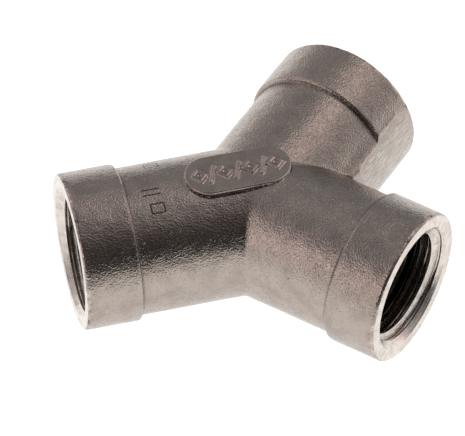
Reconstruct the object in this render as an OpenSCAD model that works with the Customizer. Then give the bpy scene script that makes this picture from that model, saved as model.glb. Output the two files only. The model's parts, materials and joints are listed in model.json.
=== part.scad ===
// Y pipe fitting: one stainless investment casting with three equal female pipe threads.
// The three port axes lie in the plane z = 0 and cross at the origin. The trunk port faces -X,
// and the two branch ports face +X at an angle to either side of it. +Z is the marked side.

/* [Ports] */
// Distance from the crossing of the axes to the trunk port's face
trunk_length = 19.7; // [18:0.1:26]
// Distance from the crossing of the axes to each branch port's face
branch_length = 18.95; // [18:0.05:26]
// Angle of each branch away from the trunk's line
branch_angle = 45; // [37:0.5:60]
// Major diameter of the pipe thread, at its roots
thread_major_d = 13.157; // [12.5:0.001:16]
// Pitch of the pipe thread
thread_pitch = 1.337; // [0.9:0.001:1.8]
// Depth from a port's face to the end of its thread
thread_depth = 10.5; // [8:0.1:12]
// Gap between the thread's roots and the edge of the countersink at the port's face
mouth_clearance = 0.25; // [0.1:0.05:0.5]
// Angle of the countersink's wall from the port's axis
mouth_angle = 45; // [30:5:60]

/* [Walls] */
// Wall of the arms outside the thread's roots
arm_wall = 1.17; // [0.8:0.01:3]
// How far the collars stand out from the arms
collar_rise = 0.5; // [0.3:0.05:1.5]
// Step in from the thread's crests to the cast waterway
waterway_step = 0.32; // [0.1:0.02:1]

/* [Collars] */
// Length of each collar, from the port's face to its shoulder
collar_length = 5.9; // [4:0.1:8]
// Length of the sloped shoulder between collar and arm
shoulder_length = 0.42; // [0.1:0.02:1.5]
// Radius of the rounded outer edge at the port's face
face_edge_r = 0.45; // [0.1:0.05:0.8]

/* [Marking pad] */
// Length of the raised pad, along the trunk
pad_length = 11.2; // [10.5:0.1:14]
// Width of the raised pad
pad_width = 5.2; // [4:0.1:6.5]
// Distance from the crossing of the axes to the pad's middle, towards the trunk port
pad_offset = 1.85; // [0:0.05:3]
// Height of the pad's flat top over the arm's crest
pad_rise = 0.2; // [0.05:0.05:0.6]
// Height of the raised marks on the pad
mark_rise = 0.22; // [0.1:0.02:0.4]
// Width of the raised marks' strokes
mark_stroke = 0.42; // [0.3:0.02:0.6]
// Height of the raised marks across the pad
mark_height = 2.6; // [2:0.1:3]
// Distance from one raised mark to the next
mark_pitch = 1.35; // [1.2:0.05:1.5]
// Lean of the raised strokes
mark_lean = 20; // [0:1:30]

/* [Casting gate] */
// Width of the ground-off gate on the first branch, across its axis
gate_width = 7.2; // [3:0.1:9]
// Distance from the crossing of the axes to the gate's inner end
gate_start = 6.5; // [5:0.1:9]
// Depth of the ground gate under the collar's surface
gate_drop = 0.03; // [0.01:0.01:0.2]

/* [Hidden] */
$fn = 96;

// Height of a 55 degree pipe thread from root to crest, as a share of its pitch
THREAD_SHARE = 0.640327;
// Width of a lozenge on the pad, as a share of the strokes' height
LOZENGE_SHARE = 0.78;
EDGE_STEPS = 6;
OVERSHOOT = 1;
STEEL = [0.47, 0.44, 0.42];

major_r = thread_major_d / 2;
minor_r = major_r - THREAD_SHARE * thread_pitch;
waterway_r = minor_r - waterway_step;
arm_r = major_r + arm_wall;
collar_r = arm_r + collar_rise;
mouth_r = major_r + mouth_clearance;
mouth_depth = (mouth_r - minor_r) / tan(mouth_angle);
pad_top = arm_r + pad_rise;

// Each port as [direction in the plane z = 0, distance from the crossing to its face]
trunk = [180, trunk_length];
branches = [[branch_angle, branch_length], [-branch_angle, branch_length]];
ports = concat([trunk], branches);

// Points of a quarter circle from the collar's side round to the port's face, as [radius, distance]
function face_edge(length) = [
    for (i = [0 : EDGE_STEPS])
        let (a = 90 * i / EDGE_STEPS)
            [collar_r - face_edge_r * (1 - cos(a)), length - face_edge_r * (1 - sin(a))]
];

// Turns a shape made along +Z so that it runs along a port's axis
module along(port) rotate([0, 90, port[0]]) children();

// Outside of one arm with its shoulder and collar
module arm(length) {
    shoulder = length - collar_length;
    rotate_extrude()
        polygon(concat(
            [[0, 0], [arm_r, 0], [arm_r, shoulder - shoulder_length], [collar_r, shoulder]],
            face_edge(length),
            [[0, length]]
        ));
}

// Everything cut out along one port's axis: countersink, thread bore, taper and cast waterway
module port_bore(length) {
    thread_end = length - thread_depth;
    rotate_extrude()
        polygon([
            [0, 0],
            [waterway_r, 0],
            [waterway_r, thread_end - waterway_step],
            [minor_r, thread_end],
            [minor_r, length - mouth_depth],
            [mouth_r, length],
            [mouth_r, length + OVERSHOOT],
            [0, length + OVERSHOOT]
        ]);
}

// Flat-topped pad with round ends on the marked side
module marking_pad() {
    straight = pad_length - pad_width;
    height = pad_top - waterway_r;
    translate([-pad_offset, 0, waterway_r]) {
        translate([-straight / 2, -pad_width / 2, 0])
            cube([straight, pad_width, height]);
        for (side = [-1, 1])
            translate([side * straight / 2, 0, 0])
                cylinder(h = height, d = pad_width);
    }
}

// Moves a mark to its place in the row along the pad's top
module mark_place(place) {
    translate([-pad_offset + place * mark_pitch, 0, pad_top - mark_rise])
        children();
}

// One raised leaning stroke of the row
module stroke() {
    rotate([0, 0, -mark_lean])
        translate([-mark_stroke / 2, -mark_height / 2, 0])
            cube([mark_stroke, mark_height, 2 * mark_rise]);
}

// One raised lozenge outline of the row
module lozenge() {
    side = mark_height * LOZENGE_SHARE / sqrt(2);
    hole = side - 2 * mark_stroke;
    rotate([0, 0, 45])
        difference() {
            translate([-side / 2, -side / 2, 0])
                cube([side, side, 2 * mark_rise]);
            translate([-hole / 2, -hole / 2, -OVERSHOOT])
                cube([hole, hole, 2 * mark_rise + 2 * OVERSHOOT]);
        }
}

// Plain row of lozenges and strokes, which stands in for a maker's cast lettering
module raised_marks() {
    for (place = [-3 : 2 : 3])
        mark_place(place) lozenge();
    for (place = [-2 : 2 : 2])
        mark_place(place) stroke();
}

// What is left of the casting gate, ground down to the collar's surface inside the fork
module gate_land() {
    along(branches[0])
        intersection() {
            translate([0, 0, gate_start])
                cylinder(h = branch_length - collar_length - gate_start, r = collar_r - gate_drop);
            translate([-gate_width / 2, -collar_r, 0])
                cube([gate_width, collar_r, branch_length]);
        }
}

module cast_body() {
    color(STEEL)
        difference() {
            union() {
                for (port = ports)
                    along(port) arm(port[1]);
                gate_land();
                marking_pad();
                raised_marks();
            }
            for (port = ports)
                along(port) port_bore(port[1]);
        }
}

cast_body();
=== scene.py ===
"""Looks of the cast stainless Y pipe fitting.

The casting is made in the order that a foundry makes it: a blank with cast skin, fillets and a raised
marking pad, whose gate is then ground off, whose faces are turned, and whose bores and right-hand pipe
threads are cut. Shapes are worked out in millimetres and stored in metres.
"""

from collections import namedtuple
import json
import math

import bmesh
import bpy
from mathutils import Matrix, Vector, noise
import numpy as np


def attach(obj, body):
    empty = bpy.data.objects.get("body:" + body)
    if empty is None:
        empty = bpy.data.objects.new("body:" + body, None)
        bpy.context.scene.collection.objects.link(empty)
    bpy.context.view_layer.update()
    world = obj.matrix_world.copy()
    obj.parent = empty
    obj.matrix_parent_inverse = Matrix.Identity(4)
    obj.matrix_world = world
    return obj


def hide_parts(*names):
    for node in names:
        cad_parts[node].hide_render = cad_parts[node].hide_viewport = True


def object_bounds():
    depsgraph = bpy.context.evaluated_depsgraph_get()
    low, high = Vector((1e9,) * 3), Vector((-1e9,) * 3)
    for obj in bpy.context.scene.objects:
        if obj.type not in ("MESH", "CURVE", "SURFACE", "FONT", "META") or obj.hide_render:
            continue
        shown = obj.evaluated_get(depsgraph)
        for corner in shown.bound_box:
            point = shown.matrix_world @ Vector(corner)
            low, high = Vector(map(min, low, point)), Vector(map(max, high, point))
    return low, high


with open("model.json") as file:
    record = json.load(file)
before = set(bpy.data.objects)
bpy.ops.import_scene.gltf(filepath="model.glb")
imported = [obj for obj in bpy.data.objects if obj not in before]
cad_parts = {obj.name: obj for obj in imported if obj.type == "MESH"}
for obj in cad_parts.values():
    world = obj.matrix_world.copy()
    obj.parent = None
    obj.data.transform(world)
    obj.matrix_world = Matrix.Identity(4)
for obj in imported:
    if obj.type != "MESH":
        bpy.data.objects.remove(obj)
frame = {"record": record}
cad_low, cad_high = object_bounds()

NODE = "cast_body"
MM = 0.001
UP = np.array((0.0, 0.0, 1.0))

# Outside of the casting
COLLAR_RISE = 0.5
COLLAR_LENGTH = 5.9
SHOULDER_EDGE = 0.3
SHOULDER_FILLET = 0.16
FACE_EDGE = 0.5
FACE_STOCK = 0.14
CREASE_FILLET = 0.24
SKIN_VOXEL = 0.13
SKIN_KEPT = 0.3
SMOOTH_PASSES = 3
SETTLE_PASSES = 4
SHARP_ANGLE = math.radians(38)

# Waves and dents of the cast skin: a height, a length and an offset into the noise
SKIN_WAVES = ((0.030, 4.0, (0, 0, 0)), (0.018, 1.3, (9, 2, 5)), (0.014, 0.55, (3, 8, 1)))

# Casting gate in the fork, ground off just under the collar's surface
GATE_WIDTH = 7.2
GATE_START = 6.5
GATE_STOCK = 0.05
GATE_FILLET = 1.1
GRIND_SPREAD = math.radians(38)
GRIND_FLAT = math.radians(23)
GRIND_RISE = 5.0
GRIND_RUN_OUT = 0.5
GRIND_DEPTH = 0.05
# From the gate's inner end to where the grinder starts, and to where it has come down level
GRIND_LEAD = 1.2
GRIND_LEVEL = 2.4

# Grooves of the grinder: a height, how closely they lie round the arm and along it, and a row of the noise
GRIND_GROOVES = ((0.016, 48, 0.22, 4.0), (0.012, 17, 0.35, 7.0))

# Marking pad
PAD_LENGTH = 11.2
PAD_WIDTH = 5.2
PAD_OFFSET = 1.85
PAD_RISE = 0.2
PAD_EDGE = 0.17
PAD_FILLET = 0.06
PAD_VOXEL = 0.085
# How deep the pad's solid goes, how far its fillet runs under the skin, and its share of the skin's waves
PAD_ROOT = 1.5
PAD_SINK = 0.03
PAD_RELIEF = 0.5
MARK_RISE = 0.24
MARK_STROKE = 0.42
MARK_HEIGHT = 2.6
LOZENGE_HALF = 0.39
MARK_PITCH = 1.35
MARK_LEAN = math.radians(20)
MARK_EDGE = 0.12
MARK_FILLET = 0.08

# 55 degree pipe thread and its bore
THREAD_PITCH = 1.337
THREAD_DEPTH = 10.5
THREAD_SHARE = 0.640327
HALF_FLANK = math.radians(27.5)
MOUTH_CLEARANCE = 0.25
WATERWAY_STEP = 0.32
THREAD_FADE = 1.5
ROOT_ROUNDING = 0.12
TURN_STEPS = 80
# How far the fading thread stays clear of the bore, and how far cutters reach past the metal
FADE_CLEARANCE = 0.05
CUTTER_MARGIN = 1

# Etched marks: a centre along the trunk and round it, and bars, each an offset from it, a length and a width
ETCH_WIDTH = 0.17
SQUARE = (
    (0.7, 0, ETCH_WIDTH, 1.2),
    (-0.7, 0, ETCH_WIDTH, 1.2),
    (0, 0.52, 1.56, ETCH_WIDTH),
    (0, -0.52, 1.56, ETCH_WIDTH),
)
PAIR = ((0, 0.35, 1.9, ETCH_WIDTH), (0, -0.35, 1.9, ETCH_WIDTH))
ETCHED_MARKS = (((10.2, 3.9), SQUARE), ((11.2, -0.7), PAIR), ((10.9, -2.7), SQUARE))

# Camera and lights
FIELD = math.radians(4.438)
VIEW_AZIMUTH = math.radians(13.628)
VIEW_ELEVATION = math.radians(47.72)
VIEW_ROLL = math.radians(-0.313)
VIEW_DISTANCE = 623.87
VIEW_CENTRE = (-2.283, 0.571, 0.016)
AIR_COLOUR = (0.95, 0.97, 1.0, 1.0)
LAMP_COLOUR = (1.0, 0.84, 0.82, 1.0)
SURROUNDINGS = 0.32
DARK_CORE = math.radians(34)
DARK_FADE = math.radians(60)
DARKEST = 0.03
DARK_TOWARDS = (-95, 30)

# Soft lamps: azimuth from +X and elevation in degrees, how tight the glow is, and its brightness
SOFT_LAMPS = (
    (28, 56, 40, 1.7),
    (-30, 56, 12, 0.25),
    (17, 6, 24, 1.3),
    (130, 31, 14, 0.9),
    (-156, 30, 28, 1.7),
    (-166, 6, 20, 0.5),
)

Port = namedtuple("Port", "axis side face crest_r")


def ports_of_record():
    """The ports, from the record's threaded holes and the flat faces around their mouths."""
    mounts = frame["record"]["mounts"]
    faces = [np.array(mount["pos_m"]) / MM for mount in mounts if mount["kind"] == "flat_face"]
    ports = []
    for mount in mounts:
        if mount["kind"] == "threaded_hole":
            axis = np.array(mount["axis"], float)
            axis /= np.linalg.norm(axis)
            face = max(float(point @ axis) for point in faces)
            ports.append(Port(axis, np.cross(axis, UP), face, mount["dims"]["r_mm"]))
    return ports


PORTS = ports_of_record()
TRUNK = min(PORTS, key=lambda port: port.axis[0])
GATE_PORT = max(PORTS, key=lambda port: port.axis[1])
COLLAR_R = cad_high[2] / MM
ARM_R = COLLAR_R - COLLAR_RISE
MAJOR_R = TRUNK.crest_r + THREAD_SHARE * THREAD_PITCH
MOUTH_R = MAJOR_R + MOUTH_CLEARANCE
PAD_TOP = ARM_R + PAD_RISE
PAD_STRAIGHT = (PAD_LENGTH - PAD_WIDTH) / 2


# --- Fields: distances to the casting's outside, in millimetres, negative inside ---

def smooth_union(a, b, reach):
    """The lesser of two distances, with a fillet where they meet."""
    share = np.clip(0.5 + 0.5 * (b - a) / reach, 0, 1)
    return b + (a - b) * share - reach * share * (1 - share)


def rounded_corner(outward, endward, edge):
    """Distance to a corner between two faces, rounded by edge."""
    outward = outward + edge
    endward = endward + edge
    corner = np.hypot(np.maximum(outward, 0), np.maximum(endward, 0))
    return corner + np.minimum(np.maximum(outward, endward), 0) - edge


def cylindrical(points, port):
    """How far points lie along a port's axis and out from it."""
    along = points @ port.axis
    return along, np.linalg.norm(points - along[:, None] * port.axis, axis=1)


def arm_field(points, port):
    """One arm with its collar, longer than the finished one by the stock that facing takes off."""
    along, across = cylindrical(points, port)
    end = port.face + FACE_STOCK
    arm = np.maximum(np.hypot(across, np.minimum(along, 0)) - ARM_R, along - end)
    half = (COLLAR_LENGTH + FACE_STOCK) / 2
    middle = end - half
    edge = np.where(along > middle, FACE_EDGE, SHOULDER_EDGE)
    collar = rounded_corner(across - COLLAR_R, np.abs(along - middle) - half, edge)
    return smooth_union(arm, collar, SHOULDER_FILLET)


def gate_field(points):
    """The stub of the casting gate, before it is ground."""
    along, across = cylindrical(points, GATE_PORT)
    sides = np.maximum(np.abs(points[:, 2]) - GATE_WIDTH / 2, -points @ GATE_PORT.side)
    ends = np.maximum(GATE_START - along, along - GATE_PORT.face + COLLAR_LENGTH / 2)
    return np.maximum(np.maximum(across - COLLAR_R - GATE_STOCK, sides), ends)


def body_field(points):
    """The whole casting without its marking pad."""
    whole = arm_field(points, PORTS[0])
    for port in PORTS[1:]:
        whole = smooth_union(whole, arm_field(points, port), CREASE_FILLET)
    return smooth_union(whole, gate_field(points), GATE_FILLET)


def marks_outline(x, y):
    """Distances in the plan to the row of lozenges and leaning strokes."""
    nearest = np.full_like(x, np.inf)
    for place in range(-3, 4):
        u = x - place * MARK_PITCH
        if place % 2:
            lozenge = (np.abs(u) + np.abs(y) - MARK_HEIGHT * LOZENGE_HALF) / math.sqrt(2)
            mark = np.abs(lozenge + MARK_STROKE / 2) - MARK_STROKE / 2
        else:
            half = (MARK_HEIGHT - MARK_STROKE) / 2
            reach = np.clip(u * math.sin(MARK_LEAN) + y * math.cos(MARK_LEAN), -half, half)
            off_u = u - reach * math.sin(MARK_LEAN)
            off_y = y - reach * math.cos(MARK_LEAN)
            mark = np.hypot(off_u, off_y) - MARK_STROKE / 2
        nearest = np.minimum(nearest, mark)
    return nearest


def pad_field(points):
    """The marking pad and its marks, with a fillet that runs just under the arm's skin around it."""
    x, y = points[:, 0] + PAD_OFFSET, points[:, 1]
    outline = np.hypot(np.maximum(np.abs(x) - PAD_STRAIGHT, 0), y) - PAD_WIDTH / 2
    plate = rounded_corner(outline, points[:, 2] - PAD_TOP, PAD_EDGE)
    marks = rounded_corner(marks_outline(x, y), points[:, 2] - PAD_TOP - MARK_RISE, MARK_EDGE)
    top = smooth_union(plate, marks, MARK_FILLET)
    whole = smooth_union(top, body_field(points) + PAD_SINK, PAD_FILLET)
    return np.maximum(whole, np.maximum(outline - 2 * PAD_FILLET, ARM_R - PAD_ROOT - points[:, 2]))


def gradient(field, points):
    """Slope of a field at each point."""
    step = 0.001
    slopes = [(field(points + step * e) - field(points - step * e)) / (2 * step) for e in np.eye(3)]
    return np.stack(slopes, axis=1)


# --- Meshes ---

def mesh_object(name, points, faces, materials=(), slots=None):
    """An object from points in millimetres and faces, with its normals outwards."""
    mesh = bpy.data.meshes.new(name)
    mesh.from_pydata([tuple(point) for point in points], [], faces)
    for material in materials:
        mesh.materials.append(material)
    if slots:
        mesh.polygons.foreach_set("material_index", slots)
    shell = bmesh.new()
    shell.from_mesh(mesh)
    bmesh.ops.recalc_face_normals(shell, faces=shell.faces)
    shell.to_mesh(mesh)
    shell.free()
    obj = bpy.data.objects.new(name, mesh)
    bpy.context.scene.collection.objects.link(obj)
    return obj


def apply_modifiers(obj):
    """Makes an object's modifiers part of its own mesh."""
    depsgraph = bpy.context.evaluated_depsgraph_get()
    mesh = bpy.data.meshes.new_from_object(obj.evaluated_get(depsgraph), depsgraph=depsgraph)
    obj.modifiers.clear()
    rough = obj.data
    obj.data = mesh
    bpy.data.meshes.remove(rough)


def combine(obj, other, operation):
    """Adds or cuts a closed mesh with its own materials, and removes it."""
    modifier = obj.modifiers.new(operation, "BOOLEAN")
    modifier.operation = operation
    modifier.object = other
    modifier.solver = "MANIFOLD"
    modifier.material_mode = "TRANSFER"
    apply_modifiers(obj)
    bpy.data.objects.remove(other)


def point_at(port, along, radius, turn):
    """A point by its place along a port's axis, its radius and its right-handed turn about the axis."""
    return along * port.axis + radius * (math.cos(turn) * UP + math.sin(turn) * port.side)


def lathe(name, port, profile, materials=(), bands=None):
    """A solid turned about a port's axis, from [radius, along] points that start and end on the axis."""
    rings = profile[1:-1]
    points = [profile[0][1] * port.axis, profile[-1][1] * port.axis]
    turns = [2 * math.pi * step / TURN_STEPS for step in range(TURN_STEPS)]
    points += [point_at(port, along, radius, turn) for radius, along in rings for turn in turns]
    faces = []
    slots = []
    for step in range(TURN_STEPS):
        after = (step + 1) % TURN_STEPS
        faces.append((0, 2 + after, 2 + step))
        for ring in range(len(rings) - 1):
            here = 2 + ring * TURN_STEPS
            there = here + TURN_STEPS
            faces.append((here + step, here + after, there + after, there + step))
        faces.append((1, len(points) - TURN_STEPS + step, len(points) - TURN_STEPS + after))
        slots += bands or [0] * (len(rings) + 1)
    return mesh_object(name, points, faces, materials, slots)


def prism(name, low, high, materials=()):
    """A solid between two outlines with as many points each."""
    count = len(low)
    faces = [tuple(range(count)), tuple(range(2 * count - 1, count - 1, -1))]
    faces += [(i, i + count, (i + 1) % count + count, (i + 1) % count) for i in range(count)]
    return mesh_object(name, list(low) + list(high), faces, materials)


def slab(name, inner, outer, materials=()):
    """A solid between two grids of points with the same shape."""
    rows, columns = inner.shape[:2]
    grid = np.arange(rows * columns).reshape(rows, columns)
    far = grid + rows * columns
    faces = []
    for layer in (grid, far):
        quads = np.stack([layer[:-1, :-1], layer[1:, :-1], layer[1:, 1:], layer[:-1, 1:]], axis=2)
        faces += [tuple(int(i) for i in quad) for quad in quads.reshape(-1, 4)]
    rim = list(grid[0]) + list(grid[1:, -1]) + list(grid[-1, -2::-1]) + list(grid[-2:0:-1, 0])
    for i, here in enumerate(rim):
        after = rim[(i + 1) % len(rim)]
        offset = rows * columns
        faces.append((int(here), int(after), int(after) + offset, int(here) + offset))
    return mesh_object(name, list(inner.reshape(-1, 3)) + list(outer.reshape(-1, 3)), faces, materials)


def settle(obj, field, voxel):
    """Remeshes a solid evenly and draws it onto a field's surface. Returns its points and normals."""
    remesh = obj.modifiers.new("even", "REMESH")
    remesh.mode = "VOXEL"
    remesh.voxel_size = voxel
    smooth = obj.modifiers.new("smooth", "SMOOTH")
    smooth.iterations = SMOOTH_PASSES
    apply_modifiers(obj)
    flat = np.empty(len(obj.data.vertices) * 3)
    obj.data.vertices.foreach_get("co", flat)
    points = flat.reshape(-1, 3)
    for _ in range(SETTLE_PASSES):
        slope = gradient(field, points)
        points -= (field(points) / np.maximum((slope ** 2).sum(axis=1), 0.25))[:, None] * slope
    slope = gradient(field, points)
    return points, slope / np.maximum(np.linalg.norm(slope, axis=1), 0.01)[:, None]


def skin_relief(points):
    """Height of the cast skin's waves and dents at each point, in millimetres."""
    heights = np.empty(len(points))
    for i, point in enumerate(points):
        p = Vector(point)
        waves = [height * noise.noise(p / length + Vector(offset)) for height, length, offset in SKIN_WAVES]
        heights[i] = sum(waves)
    return heights


def store(obj, points, material):
    """Puts points back into an object's mesh and gives it its material."""
    obj.data.vertices.foreach_set("co", points.ravel())
    obj.data.update()
    obj.data.materials.append(material)


def join(objects):
    """One object that holds the meshes of several, which are removed."""
    whole = bmesh.new()
    for obj in objects:
        whole.from_mesh(obj.data)
        bpy.data.objects.remove(obj)
    mesh = bpy.data.meshes.new("blank")
    whole.to_mesh(mesh)
    whole.free()
    obj = bpy.data.objects.new("blank", mesh)
    bpy.context.scene.collection.objects.link(obj)
    return obj


def gate_stub():
    """The rough solid of the gate: a rib on the fork's side of its arm."""
    rim = COLLAR_R + GATE_STOCK
    spread = math.asin(GATE_WIDTH / 2 / rim)
    outline = [(0, -GATE_WIDTH / 2)]
    outline += [(rim * math.cos(turn), rim * math.sin(turn)) for turn in np.linspace(-spread, spread, 12)]
    outline += [(0, GATE_WIDTH / 2)]
    ends = (GATE_START, GATE_PORT.face - COLLAR_LENGTH / 2)
    low, high = [[end * GATE_PORT.axis + w * GATE_PORT.side + z * UP for w, z in outline] for end in ends]
    return prism("gate", low, high)


def cast_blank(material):
    """The casting's outside as it leaves the mould."""
    rough = [gate_stub()]
    for port in PORTS:
        end = port.face + FACE_STOCK
        shoulder = port.face - COLLAR_LENGTH
        profile = [(0, -1), (ARM_R, -1), (ARM_R, shoulder), (COLLAR_R, shoulder), (COLLAR_R, end), (0, end)]
        rough.append(lathe("arm", port, profile))
    blank = join(rough)
    points, normals = settle(blank, body_field, SKIN_VOXEL)
    store(blank, points + skin_relief(points)[:, None] * normals, material)
    fewer = blank.modifiers.new("fewer", "DECIMATE")
    fewer.ratio = SKIN_KEPT
    apply_modifiers(blank)
    return blank


def marking_pad(material):
    """The pad with its row of plain marks."""
    rim = PAD_WIDTH / 2 + 2 * PAD_FILLET
    outline = []
    for side in (1, -1):
        for turn in np.linspace(-math.pi / 2, math.pi / 2, 17):
            x = side * (PAD_STRAIGHT + rim * math.cos(turn)) - PAD_OFFSET
            outline.append((x, side * rim * math.sin(turn)))
    low, high = [[(x, y, z) for x, y in outline] for z in (ARM_R - PAD_ROOT, PAD_TOP + MARK_RISE / 2)]
    pad = prism("pad", low, high)
    points, normals = settle(pad, pad_field, PAD_VOXEL)
    store(pad, points + PAD_RELIEF * skin_relief(points)[:, None] * normals, material)
    return pad


# --- Machining ---

def port_cutter(port, turned, waterway):
    """Turns the face and cuts the countersink, the bore for the thread and the cast waterway."""
    thread_end = port.face - THREAD_DEPTH
    waterway_r = port.crest_r - WATERWAY_STEP
    beyond = port.face + CUTTER_MARGIN
    profile = [
        (0, -0.5),
        (waterway_r, -0.5),
        (waterway_r, thread_end - WATERWAY_STEP),
        (port.crest_r, thread_end),
        (port.crest_r, port.face - MOUTH_R + port.crest_r),
        (MOUTH_R, port.face),
        (COLLAR_R + CUTTER_MARGIN, port.face),
        (COLLAR_R + CUTTER_MARGIN, beyond),
        (0, beyond),
    ]
    return lathe("cutter", port, profile, [waterway, turned], [0, 0, 1, 1, 1, 1, 1, 1])


def thread_radius(phase):
    """Radius of the thread cutter at a phase of its pitch: straight flanks up to a rounded root."""
    height = THREAD_PITCH / (2 * math.tan(HALF_FLANK))
    flank = MAJOR_R + height / 6 - height * abs(2 * phase - 1)
    share = min(max(0.5 + (MAJOR_R - flank) / (2 * ROOT_ROUNDING), 0), 1)
    return MAJOR_R + (flank - MAJOR_R) * share - ROOT_ROUNDING * share * (1 - share)


def thread_cutter(port, material):
    """A right-hand threaded rod that cuts a port's thread, which fades out over its innermost turns."""
    phases = (0.0, 0.12, 0.24, 0.34, 0.41, 0.46, 0.5, 0.54, 0.59, 0.66, 0.76, 0.88)
    pitch_rows = len(phases)
    start = port.face - THREAD_DEPTH + WATERWAY_STEP
    rows = pitch_rows * math.ceil((port.face + 2 * THREAD_PITCH - start) / THREAD_PITCH)
    points = []
    for row in range(rows):
        phase = phases[row % pitch_rows]
        depth = thread_radius(phase) - port.crest_r
        for step in range(TURN_STEPS):
            share = step / TURN_STEPS
            along = start + (row // pitch_rows + phase + share) * THREAD_PITCH
            fade = min((along - start) / (THREAD_FADE * THREAD_PITCH), 1)
            radius = port.crest_r + min(depth, depth * fade - (1 - fade) * FADE_CLEARANCE)
            points.append(point_at(port, along, radius, 2 * math.pi * share))
    faces = []
    for row in range(rows - 1):
        for step in range(TURN_STEPS - 1):
            here = row * TURN_STEPS + step
            faces.append((here, here + 1, here + 1 + TURN_STEPS, here + TURN_STEPS))
        if row + 1 + pitch_rows < rows:
            here = (row + 1) * TURN_STEPS - 1
            there = (row + pitch_rows) * TURN_STEPS
            faces.append((here, there, there + TURN_STEPS, here + TURN_STEPS))
    low_rim = list(range(TURN_STEPS)) + [row * TURN_STEPS for row in range(pitch_rows, 0, -1)]
    last = rows * TURN_STEPS - 1
    high_rim = [(rows - 1) * TURN_STEPS + step for step in range(TURN_STEPS)]
    high_rim += [last - row * TURN_STEPS for row in range(1, pitch_rows + 1)]
    for rim, along in ((low_rim, start - 1), (high_rim, port.face + 5 * THREAD_PITCH)):
        points.append(along * port.axis)
        faces += [(rim[i], rim[(i + 1) % len(rim)], len(points) - 1) for i in range(len(rim))]
    return mesh_object("thread", points, faces, [material])


def gate_grinder(material):
    """Grinds the gate down to the collar, with fine grooves along the arm that wander a little."""
    turns = np.linspace(-1, 1, 101) * GRIND_SPREAD
    places = np.linspace(GATE_START + GRIND_LEAD, GATE_PORT.face + CUTTER_MARGIN, 40)
    inner = np.empty((len(places), len(turns), 3))
    outer = np.empty_like(inner)
    for row, along in enumerate(places):
        for column, turn in enumerate(turns):
            groove = 0
            for height, round_arm, along_arm, noise_row in GRIND_GROOVES:
                groove += height * noise.noise(Vector((turn * round_arm, along * along_arm, noise_row)))
            edge = GRIND_RISE * max(abs(turn) - GRIND_FLAT, 0) ** 2
            run_out = max(GATE_START + GRIND_LEVEL - along, 0) * GRIND_RUN_OUT
            radius = COLLAR_R - GRIND_DEPTH + groove + edge + run_out
            quarter = turn + math.pi / 2
            inner[row, column] = point_at(GATE_PORT, along, radius, quarter)
            outer[row, column] = point_at(GATE_PORT, along, COLLAR_R + 2, quarter)
    return slab("grinder", inner, outer, [material])


# --- Materials: every pattern lies in the part's own millimetres ---

class Shader:
    """Adds nodes to a material's tree. Each call returns the new node's output."""

    def __init__(self, name):
        self.material = bpy.data.materials.new(name)
        self.material.use_nodes = True
        self.tree = self.material.node_tree
        self.surface = self.tree.nodes["Principled BSDF"]
        place = self.tree.nodes.new("ShaderNodeTexCoord").outputs["Object"]
        self.place = self.vector("SCALE", place, scale=1 / MM)

    def put(self, value, socket):
        """Links an output to a socket, or sets the socket's own value."""
        if isinstance(value, bpy.types.NodeSocket):
            self.tree.links.new(value, socket)
        else:
            socket.default_value = value

    def math(self, operation, *values):
        node = self.tree.nodes.new("ShaderNodeMath")
        node.operation = operation
        for value, socket in zip(values, node.inputs):
            self.put(value, socket)
        return node.outputs[0]

    def vector(self, operation, *values, scale=None):
        node = self.tree.nodes.new("ShaderNodeVectorMath")
        node.operation = operation
        for value, socket in zip(values, node.inputs):
            self.put(value, socket)
        if scale is not None:
            self.put(scale, node.inputs["Scale"])
        return node.outputs["Value" if operation in ("DOT_PRODUCT", "LENGTH") else "Vector"]

    def pack(self, x, y, z):
        node = self.tree.nodes.new("ShaderNodeCombineXYZ")
        for value, socket in zip((x, y, z), node.inputs):
            self.put(value, socket)
        return node.outputs[0]

    def split(self, value):
        node = self.tree.nodes.new("ShaderNodeSeparateXYZ")
        self.put(value, node.inputs[0])
        return node.outputs

    def noise(self, place, scale, detail=2.0, roughness=0.5):
        node = self.tree.nodes.new("ShaderNodeTexNoise")
        self.put(place, node.inputs["Vector"])
        self.put(scale, node.inputs["Scale"])
        self.put(detail, node.inputs["Detail"])
        self.put(roughness, node.inputs["Roughness"])
        return node.outputs["Fac"]

    def cells(self, place, scale):
        node = self.tree.nodes.new("ShaderNodeTexVoronoi")
        self.put(place, node.inputs["Vector"])
        self.put(scale, node.inputs["Scale"])
        return node.outputs["Distance"]

    def range(self, value, low, high, to_low=0.0, to_high=1.0):
        node = self.tree.nodes.new("ShaderNodeMapRange")
        node.interpolation_type = "SMOOTHSTEP"
        names = ("Value", "From Min", "From Max", "To Min", "To Max")
        for amount, name in zip((value, low, high, to_low, to_high), names):
            self.put(amount, node.inputs[name])
        return node.outputs["Result"]

    def mix(self, share, low, high):
        node = self.tree.nodes.new("ShaderNodeMix")
        node.data_type = "RGBA"
        for value, name in ((share, "Factor_Float"), (low, "A_Color"), (high, "B_Color")):
            socket = next(one for one in node.inputs if one.identifier == name)
            self.put(value, socket)
        return next(one for one in node.outputs if one.identifier == "Result_Color")

    def bump(self, height):
        node = self.tree.nodes.new("ShaderNodeBump")
        self.put(height, node.inputs["Height"])
        node.inputs["Strength"].default_value = 1.0
        node.inputs["Distance"].default_value = MM
        return node

    def finish(self, colour, roughness, height):
        """Links the metal's colour, roughness and relief in millimetres."""
        self.put(colour, self.surface.inputs["Base Color"])
        self.put(roughness, self.surface.inputs["Roughness"])
        self.surface.inputs["Metallic"].default_value = 1.0
        self.tree.links.new(self.bump(height).outputs[0], self.surface.inputs["Normal"])
        return self.material


def rgb(red, green, blue):
    """A colour for a socket."""
    return (red, green, blue, 1.0)


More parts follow.
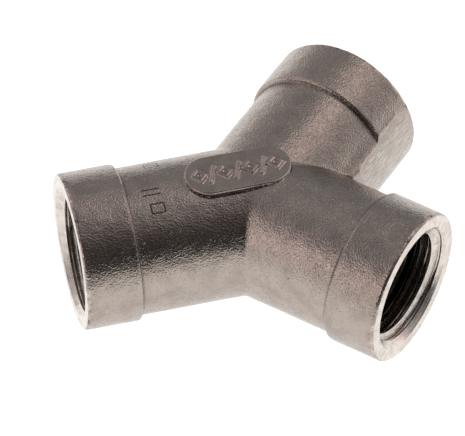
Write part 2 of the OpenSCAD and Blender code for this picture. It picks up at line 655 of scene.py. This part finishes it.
def along_and_across(shader, port):
    """Outputs for a port's cylindrical coordinates: along its axis, out from it and the turn about it."""
    along = shader.vector("DOT_PRODUCT", shader.place, tuple(port.axis))
    on_axis = shader.vector("SCALE", tuple(port.axis), scale=along)
    across = shader.vector("LENGTH", shader.vector("SUBTRACT", shader.place, on_axis))
    side = shader.vector("DOT_PRODUCT", shader.place, tuple(port.side))
    turn = shader.math("ARCTAN2", side, shader.split(shader.place)[2])
    return along, across, turn


def nearest_port(shader):
    """Outputs for the nearest port: the depth behind its face, out from its axis and the turn about it."""
    depth, across, turn = None, None, None
    for port in PORTS:
        other_along, other_across, other_turn = along_and_across(shader, port)
        other_depth = shader.math("SUBTRACT", port.face, other_along)
        if depth is None:
            depth, across, turn = other_depth, other_across, other_turn
        else:
            nearer = shader.math("LESS_THAN", other_depth, depth)
            kept = shader.math("SUBTRACT", 1.0, nearer)
            depth, across, turn = [
                shader.math("ADD", shader.math("MULTIPLY", old, kept), shader.math("MULTIPLY", new, nearer))
                for old, new in ((depth, other_depth), (across, other_across), (turn, other_turn))
            ]
    return depth, across, turn


def ground_gate(shader):
    """Outputs for the ground gate: where it is, from 0 to 1, and its scratches, which run along its arm."""
    along, across, turn = along_and_across(shader, GATE_PORT)
    off_centre = shader.math("ABSOLUTE", shader.math("SUBTRACT", turn, math.pi / 2))
    ragged = shader.math("MULTIPLY", shader.noise(shader.place, 0.9, 4.0, 0.7), 0.5)
    sides = shader.range(shader.math("ADD", off_centre, ragged), GRIND_FLAT + 0.32, GRIND_FLAT + 0.18)
    start = shader.range(along, GATE_START + 1.6, GATE_START + 2.6)
    top = shader.range(across, COLLAR_R - 0.22, COLLAR_R - 0.1)
    path = shader.pack(shader.math("MULTIPLY", turn, 60), shader.math("MULTIPLY", along, 0.6), 0.0)
    inside = shader.math("MULTIPLY", shader.math("MULTIPLY", sides, start), top)
    return inside, shader.noise(path, 1.0, 3.0, 0.65)


def cast_skin():
    """Cast skin: fine grain, faint stains, small pits, etched marks and the ground gate, with painted shade
    in the collars' inner corners and along the pad's front foot, and a painted highlight and painted shade
    in patches on the ports' face rims.
    """
    shader = Shader("cast_skin")
    place = shader.place
    grain = shader.noise(place, 5.4, 1.5, 0.5)
    fine = shader.noise(place, 8.0, 2.0, 0.6)
    stains = shader.noise(place, 0.55, 3.0, 0.6)
    pits = shader.range(shader.cells(place, 0.9), 0.10, 0.02)
    metal = shader.mix(shader.range(stains, 0.35, 0.68), rgb(0.40, 0.345, 0.305), rgb(0.33, 0.285, 0.255))
    metal = shader.mix(shader.range(grain, 0.42, 0.30, 0.0, 0.4), metal, rgb(0.20, 0.165, 0.145))
    metal = shader.mix(shader.range(fine, 0.54, 0.72, 0.0, 0.2), metal, rgb(0.60, 0.52, 0.47))
    depth, across, _ = nearest_port(shader)
    # Painted highlight and painted shade in patches along the outer rim of each port's face.
    outer = shader.range(across, COLLAR_R - 1.0, COLLAR_R - 0.7)
    rim = shader.math("MULTIPLY", shader.range(depth, 0.75, 0.1), outer)
    patches = shader.noise(place, 0.8, 4.0, 0.7)
    rim_highlight = shader.math("MULTIPLY", rim, shader.range(patches, 0.5, 0.6))
    metal = shader.mix(rim_highlight, metal, rgb(0.56, 0.45, 0.38))
    rim_shade = shader.math("MULTIPLY", rim, shader.range(patches, 0.46, 0.38))
    metal = shader.mix(rim_shade, metal, rgb(0.10, 0.08, 0.07))
    # Painted shade in the inner corner where each collar's shoulder steps down to its arm.
    shoulder = shader.math("ABSOLUTE", shader.math("SUBTRACT", depth, COLLAR_LENGTH + 0.1))
    low_down = shader.range(across, ARM_R + 0.3, ARM_R + 0.1)
    corners = shader.math("MULTIPLY", shader.range(shoulder, 0.22, 0.06), low_down)
    ground, scratches = ground_gate(shader)
    scratched = shader.range(scratches, 0.3, 0.7)
    ground_colour = shader.mix(scratched, rgb(0.32, 0.285, 0.255), rgb(0.55, 0.50, 0.455))
    metal = shader.mix(ground, metal, ground_colour)
    metal = shader.mix(shader.math("MULTIPLY", pits, 0.6), metal, rgb(0.10, 0.08, 0.07))
    metal = shader.mix(shader.math("MULTIPLY", etched_marks(shader), 0.92), metal, rgb(0.03, 0.026, 0.024))
    # Painted shadow at the pad's front foot, mixed with the collars' corners into one painted shade.
    on_pad, pad_shadow = pad_masks(shader)
    pad_shadow_strength = shader.math("MULTIPLY", pad_shadow, 0.8)
    painted_shade = shader.math("MAXIMUM", pad_shadow_strength, shader.math("MULTIPLY", corners, 0.4))
    metal = shader.mix(painted_shade, metal, rgb(0.05, 0.042, 0.038))
    cast_roughness = shader.range(grain, 0.3, 0.7, 0.30, 0.20)
    ground_roughness = shader.range(scratches, 0.3, 0.7, 0.40, 0.26)
    relief = shader.math("ADD", shader.math("MULTIPLY", grain, 0.06), shader.math("MULTIPLY", fine, 0.01))
    relief = blend(shader, on_pad, relief, shader.math("MULTIPLY", grain, 0.03))
    relief = blend(shader, ground, relief, shader.math("MULTIPLY", scratches, 0.05))
    relief = shader.math("SUBTRACT", relief, shader.math("MULTIPLY", pits, 0.03))
    return shader.finish(metal, blend(shader, ground, cast_roughness, ground_roughness), relief)


def pad_masks(shader):
    """Outputs that are 1 on the marking pad, and for the painted shadow in the corner along the front of its
    foot.
    """
    x, y, z = shader.split(shader.place)
    end = shader.math("SUBTRACT", shader.math("ABSOLUTE", shader.math("ADD", x, PAD_OFFSET)), PAD_STRAIGHT)
    reach = shader.vector("LENGTH", shader.pack(shader.math("MAXIMUM", end, 0.0), y, 0.0))
    outline = shader.math("SUBTRACT", reach, PAD_WIDTH / 2)
    above = shader.range(z, ARM_R - PAD_ROOT, ARM_R - PAD_ROOT + 0.1)
    on_pad = shader.math("MULTIPLY", shader.range(outline, 0.06, 0.0), above)
    # A band round the pad's foot, on its front side, where painted shadow goes.
    foot = shader.range(shader.math("ABSOLUTE", shader.math("SUBTRACT", outline, 0.04)), 0.16, 0.06)
    front = shader.range(y, 1.0, -1.0)
    below = shader.math("MULTIPLY", shader.range(z, PAD_TOP - 0.22, PAD_TOP - 0.34), front)
    return on_pad, shader.math("MULTIPLY", shader.math("MULTIPLY", foot, below), above)


def blend(shader, share, low, high):
    """Output between two amounts."""
    difference = shader.math("SUBTRACT", high, low)
    return shader.math("MULTIPLY_ADD", share, difference, low)


def bar_mask(shader, across, along, centre, size):
    """1 inside a bar of the given centre and size, and 0 outside it."""
    u = shader.math("SUBTRACT", along, centre[0])
    v = shader.math("SUBTRACT", across, centre[1])
    outside_u = shader.math("SUBTRACT", shader.math("ABSOLUTE", u), size[0] / 2)
    outside_v = shader.math("SUBTRACT", shader.math("ABSOLUTE", v), size[1] / 2)
    return shader.range(shader.math("MAXIMUM", outside_u, outside_v), 0.03, -0.03)


def etched_marks(shader):
    """Dark etched marks beside the trunk's collar: two square outlines and a pair of plain bars."""
    along, _, turn = along_and_across(shader, TRUNK)
    wrapped = shader.math("MULTIPLY", turn, ARM_R)
    masks = []
    for (centre_along, centre_across), bars in ETCHED_MARKS:
        for offset_along, offset_across, length, width in bars:
            centre = (centre_along + offset_along, centre_across + offset_across)
            masks.append(bar_mask(shader, wrapped, along, centre, (length, width)))
    whole = masks[0]
    for mask in masks[1:]:
        whole = shader.math("MAXIMUM", whole, mask)
    worn = shader.range(shader.noise(shader.place, 6.0), 0.3, 0.5, 0.35, 1.0)
    above = shader.range(shader.split(shader.place)[2], 0.0, 1.0)
    return shader.math("MULTIPLY", shader.math("MULTIPLY", whole, worn), above)


def turned_metal():
    """Machined faces and threads: bright, with fine tool marks that run round the port's axis, painted shade
    that deepens into the bore and painted glints on the thread crests.
    """
    shader = Shader("turned_metal")
    depth, across, turn = nearest_port(shader)
    tool_path = shader.pack(shader.math("MULTIPLY", across, 9), shader.math("MULTIPLY", depth, 9), turn)
    rings = shader.noise(tool_path, 1.0, 2.0, 0.6)
    smears = shader.noise(shader.place, 1.1, 3.0, 0.6)
    metal = shader.mix(shader.range(smears, 0.35, 0.7), rgb(0.66, 0.61, 0.56), rgb(0.50, 0.44, 0.39))
    metal = shader.mix(shader.range(rings, 0.38, 0.28, 0.0, 0.6), metal, rgb(0.20, 0.165, 0.14))
    # Painted shade that deepens into the bore, and a painted glint on the thread crests there.
    bore_shade = shader.range(depth, 1.0, 3.2)
    metal = shader.mix(shader.math("MULTIPLY", bore_shade, 0.9), metal, rgb(0.07, 0.055, 0.045))
    crest = shader.range(across, TRUNK.crest_r + 0.06, TRUNK.crest_r + 0.01)
    glint = shader.math("MULTIPLY", crest, shader.math("MULTIPLY", bore_shade, 0.5))
    metal = shader.mix(glint, metal, rgb(0.5, 0.45, 0.4))
    roughness = shader.range(rings, 0.3, 0.7, 0.30, 0.16)
    return shader.finish(metal, roughness, shader.math("MULTIPLY", rings, 0.03))


def waterway_skin():
    """Darker and rougher cast skin inside the passages."""
    shader = Shader("waterway_skin")
    grain = shader.noise(shader.place, 2.6, 4.0, 0.6)
    stains = shader.noise(shader.place, 0.7, 3.0, 0.6)
    stained = shader.range(stains, 0.3, 0.7)
    metal = shader.mix(stained, rgb(0.12, 0.10, 0.085), rgb(0.07, 0.058, 0.05))
    metal = shader.mix(shader.range(grain, 0.45, 0.3, 0.0, 0.6), metal, rgb(0.035, 0.03, 0.025))
    roughness = shader.range(grain, 0.3, 0.7, 0.66, 0.5)
    return shader.finish(metal, roughness, shader.math("MULTIPLY", grain, 0.09))


# --- The piece and its studio ---

def casting():
    """The finished fitting, as one piece."""
    skin, turned, waterway = cast_skin(), turned_metal(), waterway_skin()
    body = cast_blank(skin)
    combine(body, marking_pad(skin), "UNION")
    combine(body, gate_grinder(skin), "DIFFERENCE")
    for port in PORTS:
        combine(body, port_cutter(port, turned, waterway), "DIFFERENCE")
    for port in PORTS:
        combine(body, thread_cutter(port, turned), "DIFFERENCE")
    body.name = "casting"
    body.data.name = "casting"
    body.data.transform(Matrix.Scale(MM, 4))
    body.data.shade_smooth()
    body.data.set_sharp_from_angle(angle=SHARP_ANGLE)
    return body


def studio_floor():
    """A pale floor that glows, as a lit white table does."""
    half = 3.0
    z = cad_low[2]
    mesh = bpy.data.meshes.new("floor")
    corners = [(-half, -half, z), (half, -half, z), (half, half, z), (-half, half, z)]
    mesh.from_pydata(corners, [], [(0, 1, 2, 3)])
    floor = bpy.data.objects.new("floor", mesh)
    bpy.context.scene.collection.objects.link(floor)
    material = bpy.data.materials.new("floor")
    material.use_nodes = True
    surface = material.node_tree.nodes["Principled BSDF"]
    surface.inputs["Base Color"].default_value = rgb(0.2, 0.2, 0.2)
    surface.inputs["Roughness"].default_value = 0.9
    surface.inputs["Emission Color"].default_value = rgb(1.0, 0.995, 0.99)
    surface.inputs["Emission Strength"].default_value = 1.15
    mesh.materials.append(material)


def direction(azimuth, elevation):
    """Unit vector at an azimuth from +X and an elevation, in degrees."""
    a, e = math.radians(azimuth), math.radians(elevation)
    return Vector((math.cos(e) * math.cos(a), math.cos(e) * math.sin(a), math.sin(e)))


def world_node(tree, kind, operation, *values):
    """Adds a math node to the world's tree and returns its output."""
    node = tree.nodes.new(kind)
    node.operation = operation
    for value, socket in zip(values, node.inputs):
        if isinstance(value, bpy.types.NodeSocket):
            tree.links.new(value, socket)
        else:
            socket.default_value = value
    return node.outputs["Value"]


def studio_world():
    """Even surroundings, dark on the photographer's side, with soft lamps around and above."""
    world = bpy.data.worlds.new("studio")
    world.use_nodes = True
    bpy.context.scene.world = world
    tree = world.node_tree
    tree.nodes.clear()
    toward = tree.nodes.new("ShaderNodeTexCoord").outputs["Generated"]
    facing = world_node(tree, "ShaderNodeVectorMath", "DOT_PRODUCT", toward, direction(*DARK_TOWARDS))
    shade = tree.nodes.new("ShaderNodeMapRange")
    shade.interpolation_type = "SMOOTHSTEP"
    tree.links.new(facing, shade.inputs["Value"])
    shade.inputs["From Min"].default_value = math.cos(DARK_FADE)
    shade.inputs["From Max"].default_value = math.cos(DARK_CORE)
    shade.inputs["To Min"].default_value = SURROUNDINGS
    shade.inputs["To Max"].default_value = DARKEST
    lamps = 0.0
    for azimuth, elevation, tightness, brightness in SOFT_LAMPS:
        lamp = direction(azimuth, elevation)
        facing = world_node(tree, "ShaderNodeVectorMath", "DOT_PRODUCT", toward, lamp)
        spread = world_node(tree, "ShaderNodeMath", "MULTIPLY_ADD", facing, tightness, -tightness)
        glow = world_node(tree, "ShaderNodeMath", "EXPONENT", spread)
        lamps = world_node(tree, "ShaderNodeMath", "MULTIPLY_ADD", glow, brightness, lamps)
    output = tree.nodes.new("ShaderNodeOutputWorld")
    both = tree.nodes.new("ShaderNodeAddShader")
    for strength, colour, socket in ((shade.outputs[0], AIR_COLOUR, 0), (lamps, LAMP_COLOUR, 1)):
        background = tree.nodes.new("ShaderNodeBackground")
        background.inputs["Color"].default_value = colour
        tree.links.new(strength, background.inputs["Strength"])
        tree.links.new(background.outputs[0], both.inputs[socket])
    tree.links.new(both.outputs[0], output.inputs["Surface"])


def studio_camera():
    """The camera, which looks down on the marked side from beside the trunk."""
    flat = math.cos(VIEW_ELEVATION)
    ahead = Vector((flat * math.sin(VIEW_AZIMUTH), flat * math.cos(VIEW_AZIMUTH), -math.sin(VIEW_ELEVATION)))
    data = bpy.data.cameras.new("camera")
    data.sensor_fit = "HORIZONTAL"
    data.angle = FIELD
    data.clip_start = 0.01
    camera = bpy.data.objects.new("camera", data)
    camera.location = MM * (Vector(VIEW_CENTRE) - VIEW_DISTANCE * ahead)
    turned = ahead.to_track_quat("-Z", "Y").to_matrix() @ Matrix.Rotation(VIEW_ROLL, 3, "Z")
    camera.rotation_euler = turned.to_euler()
    bpy.context.scene.collection.objects.link(camera)
    bpy.context.scene.camera = camera


piece = casting()
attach(piece, "root")
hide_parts(NODE)

studio_floor()
studio_world()
studio_camera()
bpy.context.scene.view_settings.view_transform = "Standard"
